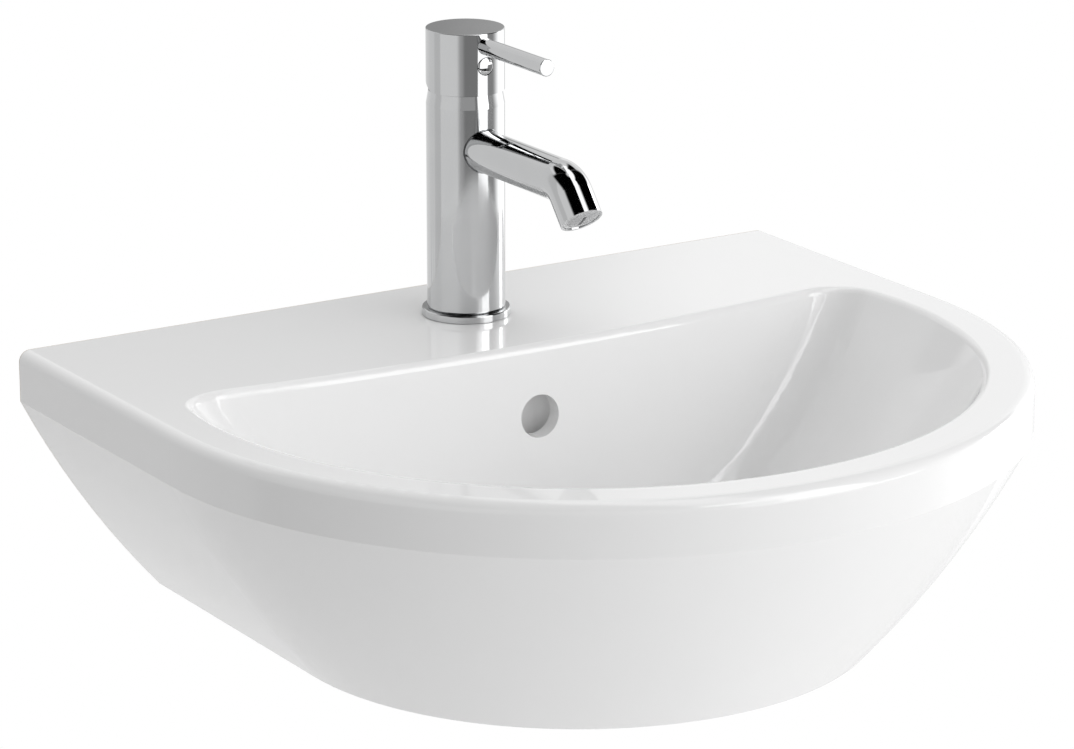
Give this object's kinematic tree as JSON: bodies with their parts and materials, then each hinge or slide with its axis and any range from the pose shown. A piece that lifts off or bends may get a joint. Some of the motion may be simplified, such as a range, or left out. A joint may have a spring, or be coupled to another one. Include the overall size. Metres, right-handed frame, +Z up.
{
  "type": "washbasin",
  "caption": "Wall-hung white ceramic washbasin with a rounded front, flat tap deck, chrome single-lever tap and push-plug waste.",
  "frame": {"origin": "on the wall face, midway between the two wall bolts", "axes": "+X across the basin to the right as seen by the user, +Y into the wall, +Z up"},
  "size_m": [0.5, 0.43, 0.3475],
  "materials": {
    "sanitary_ceramic": "gloss",
    "polished_chrome": "polished",
    "fixing_steel": "brushed",
    "fitting_brass": "turned",
    "seal_rubber": "matte",
    "jet_plastic": "matte",
    "cartridge_plastic": "matte",
    "disc_ceramic": "ground"
  },
  "bodies": {
    "root": {"basin": "sanitary_ceramic", "base_ring": "polished_chrome", "base_gasket": "seal_rubber", "tap_body": "polished_chrome", "spout": "polished_chrome", "aerator_housing": "polished_chrome", "aerator_insert": "jet_plastic", "aerator_seal": "seal_rubber", "cartridge_housing": "cartridge_plastic", "cartridge_nut": "fitting_brass", "cartridge_base": "cartridge_plastic", "cartridge_seals": "seal_rubber", "fixed_disc": "disc_ceramic", "clamp_gasket": "seal_rubber", "clamp_plate": "fixing_steel", "fixing_stud": "fixing_steel", "stud_nut": "fitting_brass", "waste_body": "polished_chrome", "waste_top_seal": "seal_rubber", "waste_bottom_seal": "seal_rubber", "waste_nut": "fitting_brass"},
    "rotor": {"temperature_rotor": "cartridge_plastic", "pivot_pin": "fixing_steel"},
    "lever": {"lever_stem": "fitting_brass", "lever_head": "polished_chrome", "lever_rod": "polished_chrome", "index_plug": "polished_chrome", "grub_screw": "fixing_steel"},
    "disc": {"moving_disc": "disc_ceramic", "disc_driver": "cartridge_plastic"},
    "plug": {"plug_cap": "polished_chrome", "plug_seal": "seal_rubber", "plug_spindle": "fixing_steel"}
  },
  "joints": [
    {"name": "temperature_turn", "type": "hinge", "parent": "root", "child": "rotor", "pos_m": [0, -0.0635, 0.208], "axis": [0, 0, 1], "range_deg": [-50, 50]},
    {"name": "lever_lift", "type": "hinge", "parent": "rotor", "child": "lever", "pos_m": [0, -0.0635, 0.208], "axis": [-1, 0, 0], "range_deg": [0, 22]},
    {"name": "disc_slide", "type": "slide", "parent": "rotor", "child": "disc", "axis": [0, -1, 0], "range_m": [0, 0.0024]},
    {"name": "plug_press", "type": "slide", "parent": "root", "child": "plug", "axis": [0, 0, -1], "range_m": [0, 0.008]}
  ],
  "couplings": [
    {"joint": "disc_slide", "follows": "lever_lift", "m_per_rad": 0.0061}
  ]
}
